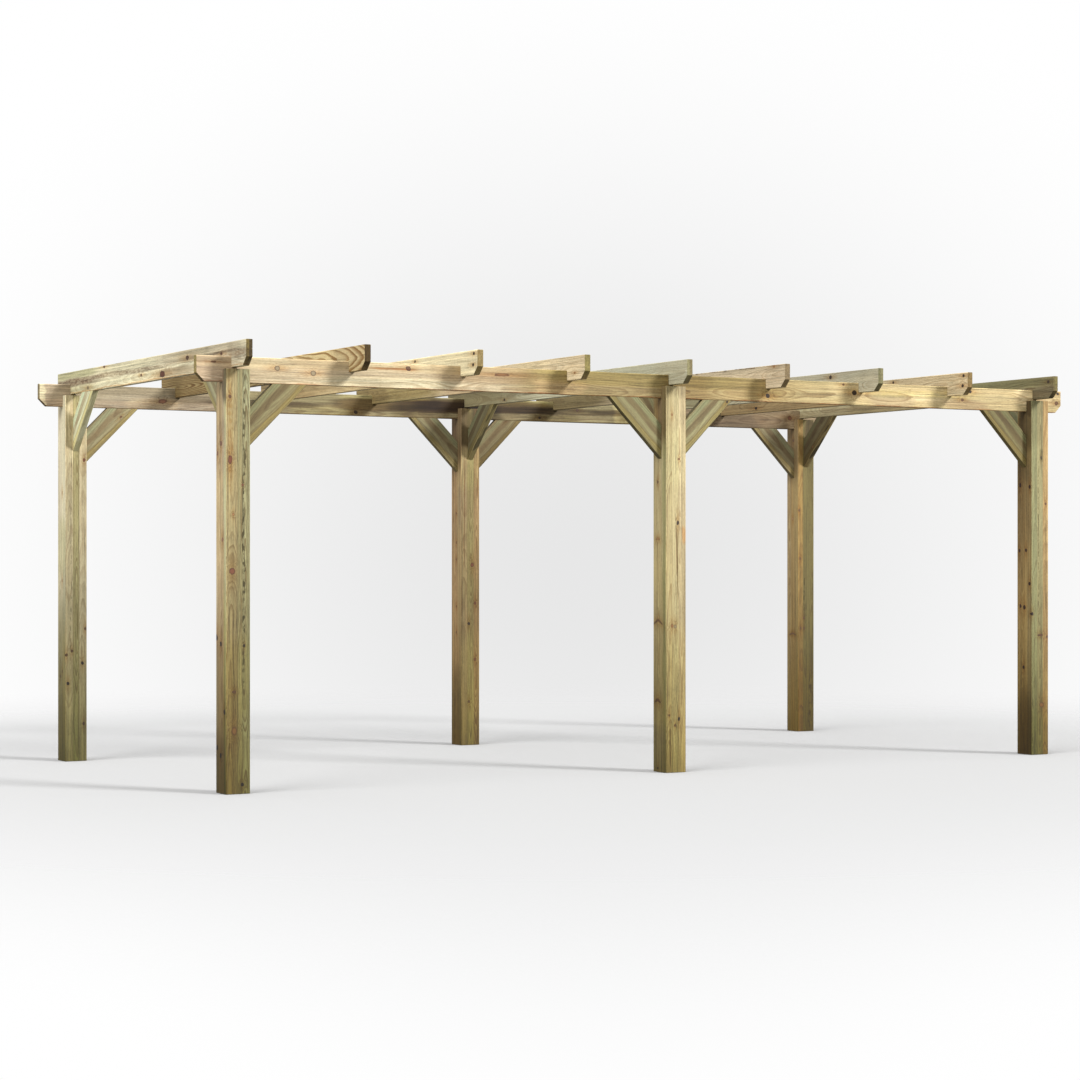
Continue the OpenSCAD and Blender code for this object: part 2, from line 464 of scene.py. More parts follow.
def add_planed_wood(wire, point, across, place, wood, knots):
    """The planed wood of a timber's strips; each strip has a log, a growth and colours of its own."""
    chosen = {}
    for index, strip in enumerate(wood["strips"]):
        values = {
            "Shift": tuple(wood["seed"] * far + index * near for far, near in STEPS),
            "Pith": (strip["pith"][0] * MM, strip["pith"][1] * MM, 0),
            "Lean": (strip["lean"][0] * MM, strip["lean"][1] * MM, 0),
            "Heart": strip["heart"],
            "Sap": strip["sap"],
            "Numbers": (strip["heartwood"] * MM, strip["year"] * MM, strip["figure"]),
        }
        if not index:
            chosen = values
            continue
        past = wire.math("GREATER_THAN", across, strip["from"] * MM)
        for key, value in values.items():
            pick = wire.blend if key in ("Heart", "Sap") else wire.choose
            chosen[key] = pick(past, chosen[key], value)
    numbers = chosen.pop("Numbers")
    heartwood, year, figure = numbers if len(wood["strips"]) == 1 else wire.parts(numbers)
    return wire.group(
        SOFTWOOD, Point=point, Year=year, Figure=figure, Heartwood=heartwood, Push=knots["Push"],
        Knots=knots["Mask"], Knot_Colour=knots["Colour"], Halo=knots["Halo"],
        Section=(*place.section, 1.0), Along=place.axes[2], Streaks=wood["streaks"], **chosen,
    )


def add_stains_and_painted_light(wire, colour, point, place, wood):
    """The stain marks, bleached places, painted shade and painted light of a timber."""
    slow = wire.grain(point, 14.0, 4.0, 2.0, colour=True)
    drift = wire.vector("MULTIPLY", wire.vector("SUBTRACT", slow, (0.5, 0.5, 0.5)), (0.03, 0.03, 0.16))
    dash = wire.ease(wire.grain(point, 60.0, 26.0, 2.0), 0.47, 0.56)
    for face, across, along, half_across, half_along, tint, *rest in wood["stains_and_painted_light"]:
        soft, dashes, depth = rest + [0.0, wood["tint_depth"]][len(rest) - 1:]
        centre, inward = face_point(place, face, across, along)
        outward = -sum((axis * part for axis, part in zip(place.axes, inward)), Vector())
        reach = Vector((1, 1, 0)) * (depth or BOTTOMLESS) * MM
        reach[1 if face in ("left", "right") else 0] = half_across * MM
        reach.z = half_along * MM
        colour = wire.group(STAIN_AND_LIGHT, Point=point, Drift=drift, Centre=centre, Reach=reach, Soft=soft,
                            Outward=outward, Spill=0.0 if depth == ONE_FACE else 1.0, Broken=dashes,
                            Dash=dash, Tint=tint, Colour=colour)["Colour"]
    return colour


def add_end_tints(wire, colour, parts, place, ends):
    """Tints the sawn face at the timber's first end: its far half, then the half nearer its first side."""
    near_end = wire.ease(parts["Z"], 0.0, 50 * MM, 1.0, 0.0)
    sawn = wire.math("MULTIPLY", near_end, wire.ease(wire.face_slope(place.axes[2]), 0.35, 0.75))
    tint = wire.blend(wire.ease(parts["Y"], 15 * MM, 21 * MM), ends[-1], ends[0])
    return wire.tinted(sawn, colour, tint)


# The planed surface: how much it shines, and how strong and how deep its grain stands.
SHINE = 0.3
RELIEF = 0.6
RELIEF_DEPTH = 0.5 * MM


def timber_material(name, place, wood):
    """The finish of one timber: wood holds its strips, knots, stain marks, and its painted shade and light.
    """
    material = bpy.data.materials.new(name)
    material.use_nodes = True
    material.node_tree.nodes.clear()
    wire = Wiring(material.node_tree)
    location, rotation, scale = place.mapping()
    coordinates = wire.node("ShaderNodeTexCoord").outputs["Object"]
    mapping = wire.node("ShaderNodeMapping", {"vector_type": "POINT"}, Vector=coordinates,
                        Location=location, Rotation=rotation, Scale=scale)
    point = mapping.outputs["Vector"]
    parts = wire.parts(point)
    knots = add_knots(wire, point, place, wood["knots"])
    finish = add_planed_wood(wire, point, parts["X"], place, wood, knots)
    colour = finish["Colour"]
    for strip in wood["strips"][1:]:
        gap = wire.math("ABSOLUTE", wire.math("SUBTRACT", parts["X"], strip["from"] * MM))
        colour = wire.tinted(wire.ease(gap, 0.3 * MM, 1.1 * MM, 0.55, 0.0), colour, GLUE_LINE)
    colour = add_stains_and_painted_light(wire, colour, point, place, wood)
    if wood["ends"]:
        colour = add_end_tints(wire, colour, parts, place, wood["ends"])
    # Painted shade: a post darkens towards its foot.
    if "foot" in wood:
        colour = wire.tinted(wire.ease(parts["Z"], *FOOT_REACH, 1.0, 0.0), colour, wood["foot"])
    shader = wire.node("ShaderNodeBsdfPrincipled")
    wire.feed(shader.inputs["Base Color"], colour)
    wire.feed(shader.inputs["Roughness"], finish["Roughness"])
    shader.inputs["Specular IOR Level"].default_value = SHINE
    bump = wire.node("ShaderNodeBump", Height=finish["Height"], Strength=RELIEF, Distance=RELIEF_DEPTH)
    wire.feed(shader.inputs["Normal"], bump.outputs["Normal"])
    output = wire.node("ShaderNodeOutputMaterial")
    wire.feed(output.inputs["Surface"], shader.outputs["BSDF"])
    return material


# ---------------------------------------------------------------- the timbers' shapes


def merged_copy(node):
    """A welded copy of a CAD node's shape with one face for each flat side."""
    shape = bmesh.new()
    shape.from_mesh(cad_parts[node].data)
    bmesh.ops.remove_doubles(shape, verts=shape.verts, dist=SAME_SPOT)
    bmesh.ops.dissolve_limit(shape, angle_limit=FLAT, verts=shape.verts, edges=shape.edges)
    bmesh.ops.recalc_face_normals(shape, faces=shape.faces)
    return shape


def outer_edges(shape, along, with_grain):
    """Convex edges that run with the grain, or all the other convex edges."""
    found = []
    for edge in shape.edges:
        if len(edge.link_faces) != 2 or not edge.is_convex or edge.calc_face_angle() < SHARP:
            continue
        direction = (edge.verts[0].co - edge.verts[1].co).normalized()
        if (abs(direction.dot(along)) > PARALLEL) == with_grain:
            found.append(edge)
    return found


def round_edges(shape, edges, radius, segments):
    """Rounds the edges; the new narrow faces are shaded smooth."""
    made = bmesh.ops.bevel(shape, geom=edges, offset=radius, offset_type="OFFSET", segments=segments,
                           profile=0.5, affect="EDGES", material=-1, clamp_overlap=True)
    for face in made["faces"]:
        face.smooth = True


def new_piece(name, shape, material):
    mesh = bpy.data.meshes.new(name)
    shape.to_mesh(mesh)
    shape.free()
    piece = bpy.data.objects.new(name, mesh)
    bpy.context.scene.collection.objects.link(piece)
    mesh.materials.append(material)
    return piece


def check_blade(place, face, across, along, half_length, draw):
    """A thin blade, pointed at both ends and at its edge, that cuts one drying check along the grain."""
    centre, inward = (Vector(part) for part in face_point(place, face, across, along))
    sideways = Vector((0, 1, 0)) if face in ("left", "right") else Vector((1, 0, 0))
    opening = draw.uniform(*CHECK_OPENING) * MM
    sweep = draw.uniform(-CHECK_SWEEP, CHECK_SWEEP) * MM
    blade = bmesh.new()
    bmesh.ops.create_cube(blade, size=2.0)
    lengthwise = [edge for edge in blade.edges if edge.verts[0].co.z != edge.verts[1].co.z]
    bmesh.ops.subdivide_edges(blade, edges=lengthwise, cuts=CHECK_BENDS, use_grid_fill=True)
    turn = Matrix(place.axes).transposed()
    waver = {}
    for vertex in blade.verts:
        step = round(vertex.co.z, 3)
        waver.setdefault(step, draw.uniform(-CHECK_WAVER, CHECK_WAVER) * MM)
        fullness = max(CHECK_TIP, 1.0 - step ** 2)
        edge_width = CHECK_EDGE if vertex.co.y > 0 else 1.0
        shift = waver[step] + sweep * step ** 2
        spot = centre + Vector((0, 0, vertex.co.z * half_length * MM))
        spot += sideways * (shift + vertex.co.x * opening / 2 * fullness * edge_width)
        spot += inward * (CHECK_DEPTH * fullness * MM if vertex.co.y > 0 else -CHECK_PROUD * MM)
        vertex.co = place.origin + turn @ spot
    if blade.calc_volume(signed=True) < 0:
        bmesh.ops.reverse_faces(blade, faces=blade.faces)
    return blade


def cut_checks(piece, place, checks, seed):
    """Cuts the drying checks and end splits into a finished timber."""
    draw = random.Random(seed)
    for face, across, along, half_length in checks:
        blade = check_blade(place, face, across, along, half_length, draw)
        mesh = bpy.data.meshes.new("check_blade")
        blade.to_mesh(mesh)
        blade.free()
        cutter = bpy.data.objects.new("check_blade", mesh)
        bpy.context.scene.collection.objects.link(cutter)
        cut = piece.modifiers.new("check", "BOOLEAN")
        cut.operation = "DIFFERENCE"
        cut.solver = "EXACT"
        cut.object = cutter
        bpy.context.view_layer.update()
        evaluated = piece.evaluated_get(bpy.context.evaluated_depsgraph_get())
        finished = bpy.data.meshes.new_from_object(evaluated)
        piece.modifiers.remove(cut)
        bpy.data.objects.remove(cutter)
        bpy.data.meshes.remove(mesh)
        old = piece.data
        finished.name = old.name
        piece.data = finished
        bpy.data.meshes.remove(old)


def lay_out_sides(piece, place):
    """A map for the finish: each side of each stretch of the timber lies flat by itself, to one scale."""
    shape = bmesh.new()
    shape.from_mesh(piece.data)
    stretches = max(1, round(place.length / STRETCH))
    turn = Matrix(place.axes)
    for index in range(1, stretches):
        bmesh.ops.bisect_plane(shape, geom=shape.verts[:] + shape.edges[:] + shape.faces[:],
                               plane_co=place.origin + place.axes[2] * place.length * index / stretches,
                               plane_no=place.axes[2], dist=ON_PLANE)
    flat = shape.loops.layers.uv.new("OFBake")
    for face in shape.faces:
        normal = turn @ face.normal
        side = max(range(3), key=lambda axis: abs(normal[axis]))
        middle = place.local(face.calc_center_median())
        stretch = int(middle.z / place.length * stretches)
        apart = Vector((stretch, 2 * side + (normal[side] > 0))) * APART
        level = [axis for axis in (2, 0, 1) if axis != side][:2]
        for loop in face.loops:
            spot = place.local(loop.vert.co)
            loop[flat].uv = apart + Vector((spot[level[0]], spot[level[1]]))
    shape.to_mesh(piece.data)
    shape.free()
    bpy.context.view_layer.objects.active = piece
    piece.select_set(True)
    bpy.ops.object.mode_set(mode="EDIT")
    bpy.ops.mesh.select_all(action="SELECT")
    bpy.ops.uv.select_all(action="SELECT")
    bpy.ops.uv.pack_islands(rotate=False, scale=True, margin=MAP_MARGIN, shape_method="AABB")
    bpy.ops.object.mode_set(mode="OBJECT")
    piece.select_set(False)


def on_slot_floor(edge, place, wood):
    """Whether an edge lies in the floor of a post's head slot, which is left as sawn."""
    floor = place.length - wood.get("slot_depth", 0)
    return "slot_depth" in wood and abs(place.local(edge.verts[0].co).z - floor) <= CUT_ROUND


def make_timber(node, place, wood):
    """One detailed timber in place of its CAD node."""
    shape = merged_copy(node)
    along = place.axes[2]
    for face in shape.faces:
        face.smooth = False
    round_edges(shape, outer_edges(shape, along, True), ARRIS_ROUND, 3)
    sharp = [edge for edge in outer_edges(shape, along, False)
             if edge.calc_face_angle() > SHARP_CUT and not on_slot_floor(edge, place, wood)]
    round_edges(shape, sharp, CUT_ROUND, 2)
    piece = new_piece(node + "_timber", shape, timber_material(node + "_wood", place, wood))
    cut_checks(piece, place, wood["checks"], wood["seed"])
    lay_out_sides(piece, place)
    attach(piece, "root")
    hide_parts(node)


def post_place(node):
    low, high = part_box(node)
    return Place((low.x, low.y, low.z), RIGHT, BACK, UP, (high.x - low.x, high.y - low.y), high.z - low.z)


def beam_place(node):
    low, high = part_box(node)
    return Place((low.x, low.y, high.z), -UP, BACK, RIGHT, (high.z - low.z, high.y - low.y), high.x - low.x)


def rafter_place(node):
    low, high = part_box(node)
    return Place((low.x, low.y, high.z), -UP, RIGHT, BACK, (high.z - low.z, high.x - low.x), high.y - low.y)


def brace_place(node, run):
    """run is the level direction in which the brace rises from its post.

    The lower edge of a brace runs corner to corner through its box.
    """
    low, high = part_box(node)
    run = Vector(run)
    along = (run + UP).normalized()
    across = (run - UP).normalized()
    inward = BACK if abs(run.x) > 0.5 else RIGHT
    thickness = abs((high - low).dot(inward))
    rise = high.z - low.z
    length = rise * math.sqrt(2)
    lower_edge = (low + high) / 2
    origin = lower_edge - across * BRACE_WIDTH - inward * thickness / 2 - along * length / 2
    return Place(origin, across, inward, along, (BRACE_WIDTH, thickness), length)


# ---------------------------------------------------------------- what each timber looks like

# Painted shade at a post's foot, darker towards the floor: its tint, and the heights in metres between which
# it fades.
FOOT_SHADE = (0.34, 0.31, 0.13)
FOOT_REACH = (-0.35, 1.75)


def strip(heart, sap, start=0.0, pith=(70, 90), heartwood=60, year=5.0, figure=0.6, lean=(8, 12)):
    """One glued strip of a post, or a whole board; lengths in millimetres."""
    return {"heart": heart, "sap": sap, "from": start, "pith": pith, "heartwood": heartwood, "year": year,
            "figure": figure, "lean": lean}


def timber(seed, strips, knots=(), stains_and_painted_light=(), tint_depth=ONE_FACE, ends=(), streaks=1.2, checks=()):
    """What one timber looks like; every list is in millimetres from its first corner.

    knots: (face, across, along, radius, finish, and maybe how wide, how tall and how drooping).
    stains_and_painted_light: stain marks, bleached places, painted shade and painted light, each (face,
    across, along, half across, half along, tint, softness, and maybe how broken into dashes and how deep).
    checks: (face, across, along, half length). ends: the tints of the first end's halves.
    """
    return {"seed": seed, "strips": strips, "knots": list(knots), "stains_and_painted_light": list(stains_and_painted_light),
            "tint_depth": tint_depth, "ends": ends, "streaks": streaks, "checks": list(checks)}


def on(face, *marks):
    """The same marks with the face that they all lie on."""
    return [(face, *mark) for mark in marks]


def band(along, half_along, tint, softness, *more):
    """A tinted band across the whole width of a 140 mm face, for a stain mark, painted shade or painted
    light.
    """
    return (70, along, 90, half_along, tint, softness, *more)


def scattered_knots(seed, faces, place, count, finishes=("brown", "red", "orange", "dark")):
    """Knots for the faces that nothing else fixes."""
    draw = random.Random(seed)
    knots = []
    for face in faces:
        width = place.width(face) / MM
        for index in range(count):
            along = (index + draw.uniform(0.15, 0.85)) * place.length / MM / count
            across = draw.uniform(0.15, 0.85) * width
            knots.append((face, across, along, draw.uniform(5, 14), draw.choice(finishes)))
    return knots


def scattered_checks(seed, place, faces, count):
    """Drying checks that nothing else fixes, with a split at each end."""
    draw = random.Random(seed + 500)
    checks = []
    for face in faces:
        width = place.width(face) / MM
        for index in range(count):
            along = (index + draw.uniform(0.2, 0.8)) * place.length / MM / count
            checks.append((face, draw.uniform(0.25, 0.75) * width, along, draw.uniform(60, 190)))
        for end in (0, place.length / MM):
            checks.append((face, draw.uniform(0.35, 0.65) * width, end, draw.uniform(22, 60)))
    return checks


# The posts, each glued from three strips across its front. Every post lists its front and left faces.
POSTS = {
    "front_left_post": timber(
        1, [strip((0.32, 0.24, 0.1), (0.31, 0.25, 0.12), 0, (20, 60), 60, 4.5, 0.7, (12, 14)),
            strip((0.3, 0.26, 0.125), (0.29, 0.275, 0.14), 66, (76, -30), 30, 5, 0.8, (14, 16)),
            strip((0.31, 0.285, 0.145), (0.31, 0.3, 0.165), 94, (104, -26), 30, 5, 0.9, (5, 26))],
        on("front", (22, 2140, 8, "brown"), (24, 1800, 13, "red", 0.9, 1.7), (41, 1505, 6, "orange"),
           (96, 1665, 6, "red"), (35, 1200, 15, "red"), (46, 550, 8, "brown", 1.6, 0.9),
           (47, 340, 15, "orange", 1.0, 1.4), (104, 800, 6, "dark"), (94, 50, 9, "dark"))
        + on("left", (70, 1890, 12, "brown"), (118, 1837, 9, "brown"), (51, 1370, 10, "brown"),
             (129, 840, 13, "dark"), (73, 807, 12, "dark"), (24, 442, 12, "dark"), (126, 245, 12, "dark"),
             (76, 205, 12, "dark")),
        on("front", (103, 1425, 6, 830, (0.36, 0.34, 0.28), 0.4, 1.0, 20),
           (104, 1425, 14, 830, (0.8, 0.78, 0.72), 0.6, 1.0, 20),
           (22, 1960, 16, 330, (0.82, 0.7, 0.55), 0.7, 0.6, 20))
        # Left face: the whole-face tint at along 1150 is partly the face's own colour and partly painted
        # light from the left. The darker bands at along 60 and 150 are painted shade at the foot, and the
        # darker marks at along 2150 and 2240 painted shade under the beam.
        + on("left", (70, 1150, 78, 1300, (1.97, 2.04, 2.7), 0.1), band(150, 900, (0.44, 0.42, 0.4), 0.9),
             (12, 1150, 22, 1300, (0.88, 1.02, 0.92), 0.3), band(2150, 260, (0.78, 0.76, 0.74), 0.7),
             band(1860, 140, (0.8, 0.78, 0.8), 0.6), (22, 2240, 30, 130, (0.36, 0.33, 0.33), 0.5),
             (15, 500, 26, 520, (1.32, 1.36, 1.15), 0.6), band(700, 520, (1.12, 1.12, 1.18), 0.7),
             band(1060, 260, (1.1, 1.1, 1.12), 0.7), band(60, 260, (0.7, 0.7, 0.7), 0.8))
        # Front: the darker band at along 60 is painted shade at the foot.
        + on("front", band(60, 420, (0.82, 0.82, 0.76), 0.8), band(620, 200, (0.9, 0.88, 0.74), 0.7)),
        checks=on("front", (80, 700, 150), (20, 260, 110)) + on("left", (60, 1150, 190)),
    ),
    "front_middle_post": timber(
        2, [strip((0.38, 0.29, 0.14), (0.38, 0.31, 0.155), 0, (22, 70), 60, 5, 0.6, (10, 12)),
            strip((0.48, 0.41, 0.22), (0.47, 0.42, 0.23), 42, (66, -36), 60, 6, 0.7, (6, 22)),
            strip((0.48, 0.39, 0.22), (0.46, 0.38, 0.21), 90, (112, -40), 60, 5, 0.6, (-8, 14))],
        on("front", (43, 2120, 6, "orange"), (92, 1860, 6, "red"), (83, 1480, 9, "dark", 0.8, 1.6),
           (43, 870, 9, "orange"), (66, 865, 9, "grey"), (23, 340, 6, "brown"), (64, 280, 6, "brown"),
           (91, 317, 9, "dark", 0.8, 1.4))
        + on("left", (90, 1724, 8, "brown"), (90, 1390, 9, "orange", 2.4, 0.6, 0.4),
             (88, 905, 11, "brown", 4.6, 0.6, 0.55), (92, 430, 11, "brown", 2.8, 0.8, 0.5),
             (90, 23, 6, "dark")),
        # Left face: the whole-face tint at along 1150 is partly the face's own colour and partly painted
        # light from the left.
        on("left", band(1150, 1300, (1.1, 1.18, 1.26), 0.1), band(450, 900, (1.16, 1.16, 1.12), 0.7))
        + on("front", (80, 1240, 4, 190, (0.6, 0.5, 0.4), 0.6, 0.0, 12),
             (30, 155, 4, 140, (0.6, 0.5, 0.4), 0.6, 0.0, 12),
             (128, 1410, 12, 50, (1.05, 0.8, 0.62), 0.7, 0.0, 12))
        # Left face: the darker band at along 2170 is painted shade under the beam, and the band at along 60
        # painted shade at the foot.
        + on("left", (18, 1150, 20, 1300, (0.72, 0.76, 0.66), 0.5),
             band(2170, 240, (0.48, 0.39, 0.33), 0.6), (118, 2150, 25, 130, (1.8, 1.9, 1.8), 0.5),
             (118, 620, 26, 480, (0.78, 0.77, 0.8), 0.5), band(60, 200, (0.75, 0.76, 0.92), 0.6))
        + on("front", band(380, 420, (1.16, 1.15, 1.04), 0.7), band(1860, 170, (1.16, 1.2, 1.18), 0.6),
             band(2290, 60, (0.78, 0.77, 0.75), 0.6)),
        checks=on("front", (80, 1240, 180), (30, 155, 130), (58, 1960, 120)),
    ),
    "front_right_post": timber(
        3, [strip((0.255, 0.24, 0.11), (0.265, 0.26, 0.125), 0, (30, 80), 60, 5, 0.5, (8, 12)),
            strip((0.3, 0.27, 0.13), (0.29, 0.27, 0.13), 47, (70, -34), 60, 5, 0.6, (4, 20)),
            strip((0.46, 0.3, 0.125), (0.45, 0.31, 0.13), 95, (120, 90), 60, 5, 0.6, (8, 12))],
        on("front", (80, 1922, 5, "dark", 1.0, 2.0), (118, 1623, 7, "brown"), (6, 911, 9, "dark"),
           (73, 773, 9, "brown", 2.2, 0.8), (130, 762, 7, "brown"), (85, 322, 15, "orange", 1.3, 1.0))
        + on("left", (110, 1746, 11, "dark"), (18, 1733, 10, "dark"), (119, 1320, 10, "dark"),
             (54, 1322, 10, "dark"), (20, 1106, 10, "dark"), (108, 960, 10, "dark"), (69, 952, 12, "dark"),
             (78, 565, 10, "dark")),
        on("front", (57, 1350, 4, 560, (0.5, 0.48, 0.4), 0.4, 1.0, 20),
           (8, 230, 5, 190, (0.5, 0.45, 0.35), 0.4, 1.0, 20))
        # Left face: the whole-face tint at along 1145 is partly the face's own colour and partly painted
        # light from the left; the darker band at along 60 is painted shade at the foot, and the darker marks
        # at along 2180 and 2270 painted shade under the beam.
        + on("left", (70, 1145, 78, 1300, (1.09, 0.79, 0.66), 0.1), band(600, 500, (1.22, 1.24, 1.24), 0.7),
             band(60, 330, (0.46, 0.42, 0.32), 0.8), (60, 1640, 100, 260, (0.78, 0.76, 0.76), 0.7),
             (40, 2180, 84, 230, (0.33, 0.32, 0.29), 0.5), (22, 2270, 34, 70, (0.6, 0.56, 0.5), 0.5),
             band(1870, 110, (0.72, 0.72, 0.7), 0.6), (15, 560, 30, 560, (0.77, 0.8, 0.9), 0.5),
             (118, 1050, 24, 420, (1.2, 1.2, 1.25), 0.5))
        # Front: the darker band at along 40 is painted shade at the foot.
        + on("front", band(2200, 220, (0.8, 0.78, 0.76), 0.6), band(40, 260, (0.86, 0.85, 0.7), 0.7),
             (82, 1925, 13, 40, (0.5, 0.5, 0.45), 0.7, 0.3, 20)),
        checks=on("front", (57, 1500, 190), (24, 520, 120)),
    ),
    "rear_left_post": timber(
        4, [strip((0.5, 0.41, 0.245), (0.5, 0.42, 0.245), 0, (20, 90), 60, 5, 0.5, (8, 12)),
            strip((0.39, 0.34, 0.16), (0.4, 0.365, 0.17), 50, (70, -30), 30, 5, 0.7, (5, 16)),
            strip((0.48, 0.395, 0.245), (0.48, 0.405, 0.245), 90, (112, 90), 60, 5, 0.5, (6, 12))],
        on("front", (122, 1887, 9, "red"), (130, 829, 8, "brown"), (111, 613, 9, "dark"),
           (7, 666, 8, "brown"), (17, 487, 9, "dark"), (42, 690, 8, "brown"), (119, 234, 8, "brown"))
        + on("left", (60, 1682, 8, "orange"), (60, 1130, 8, "orange"), (60, 562, 8, "brown"),
             (95, 530, 8, "brown")),
        on("front", (35, 1300, 3, 800, (0.5, 0.5, 0.46), 0.4, 0.8, 12),
           band(400, 1000, (0.8, 0.82, 0.84), 0.7, 0.0, 60))
        # Left face: the whole-face tint at along 1150 is partly the face's own colour and partly painted
        # light from the left; the darker bands at along 100 and 60 are painted shade at the foot.
        + on("left", band(1150, 1300, (1.4, 1.54, 1.8), 0.1), band(100, 900, (0.48, 0.48, 0.38), 0.8),
             (20, 480, 36, 330, (1.25, 1.18, 1.0), 0.6), band(1340, 170, (0.85, 0.86, 0.76), 0.7),
             band(60, 330, (0.74, 0.72, 0.7), 0.8))
        # Front: the darker bands at along 60 and 40 are painted shade at the foot.
        + on("front", band(60, 600, (0.8, 0.82, 0.78), 0.8), band(40, 230, (0.8, 0.82, 0.8), 0.6)),
    ),
    "rear_middle_post": timber(
        5, [strip((0.31, 0.21, 0.105), (0.31, 0.23, 0.115), 0, (20, 90), 50, 5, 0.6, (6, 12)),
            strip((0.33, 0.265, 0.115), (0.33, 0.27, 0.13), 47, (70, -40), 50, 5, 0.6, (6, 12)),
            strip((0.38, 0.26, 0.12), (0.36, 0.26, 0.12), 96, (112, -26), 30, 5, 0.9, (6, 24))],
        on("front", (84, 1226, 13, "red"), (107, 965, 9, "red"), (58, 826, 9, "dark"), (106, 583, 9, "red"),
           (60, 296, 8, "brown"))
        + on("left", (70, 1578, 7, "brown"), (70, 1378, 7, "brown"), (70, 1263, 7, "brown"),
             (70, 943, 7, "brown"), (70, 767, 7, "brown")),
        on("front", (21, 1575, 2.5, 380, (0.6, 0.34, 0.22), 0.4, 0.2, 12))
        # Left face: the whole-face tint at along 1150 is partly the face's own colour and partly painted
        # light from the left; the darker band at along 80 is painted shade at the foot, and the one at along
        # 2150 painted shade under the beam.
        + on("left", (70, 1150, 78, 1300, (1.48, 1.46, 1.44), 0.1), band(80, 400, (0.64, 0.66, 0.58), 0.7),
             band(2150, 280, (0.36, 0.34, 0.33), 0.6), (15, 1620, 30, 150, (0.76, 0.78, 0.86), 0.5))
        # Front: the dark bands at along 2140 and 2290 are painted shade under the beam and the rafter, and
        # the band at along 40 painted shade at the foot.
        + on("front", band(1870, 130, (1.18, 1.24, 1.18), 0.6), band(2140, 110, (0.34, 0.32, 0.27), 0.4),
             band(2290, 50, (0.56, 0.54, 0.5), 0.5), band(1250, 290, (0.86, 0.88, 0.82), 0.6),
             band(380, 360, (1.22, 1.26, 1.14), 0.6), band(40, 170, (0.85, 0.86, 0.86), 0.6)),
    ),
    "rear_right_post": timber(
        6, [strip((0.285, 0.175, 0.056), (0.285, 0.185, 0.06), 0, (20, 90), 60, 5, 0.6, (8, 12)),
            strip((0.17, 0.14, 0.05), (0.18, 0.15, 0.053), 43, (62, -30), 30, 5, 0.7, (4, 20)),
            strip((0.17, 0.138, 0.047), (0.178, 0.147, 0.053), 93, (115, -40), 40, 5, 0.6, (6, 14))],
        on("front", (10, 1623, 8, "brown"), (18, 1270, 8, "brown"), (23, 757, 8, "brown"),
           (51, 834, 8, "brown"), (51, 757, 8, "brown"))
        + on("left", (70, 720, 9, "brown", 4.4, 0.6, 0.3), (68, 1562, 9, "orange"), (63, 2138, 8, "brown")),
        on("front", (50, 1020, 6, 140, (0.55, 0.5, 0.4), 0.4, 1.0, 12),
           (105, 210, 12, 190, (0.55, 0.5, 0.4), 0.4, 1.0, 12))
        # Left face: the whole-face tint at along 1150 is partly the face's own colour and partly painted
        # light from the left; the darker band at along 2150 is painted shade under the beam.
        + on("left", (70, 1150, 78, 1300, (1.42, 1.62, 2.2), 0.1),
             (118, 900, 26, 1200, (1.05, 1.12, 1.32), 0.4), band(2150, 300, (0.58, 0.56, 0.6), 0.6),
             band(600, 500, (1.1, 1.1, 1.1), 0.7))
        # Front: the dark mark at along 2160 is painted shade under the beam.
        + on("front", (104, 2160, 46, 130, (0.5, 0.45, 0.48), 0.4), band(200, 330, (1.0, 0.92, 0.76), 0.6)),
    ),
}

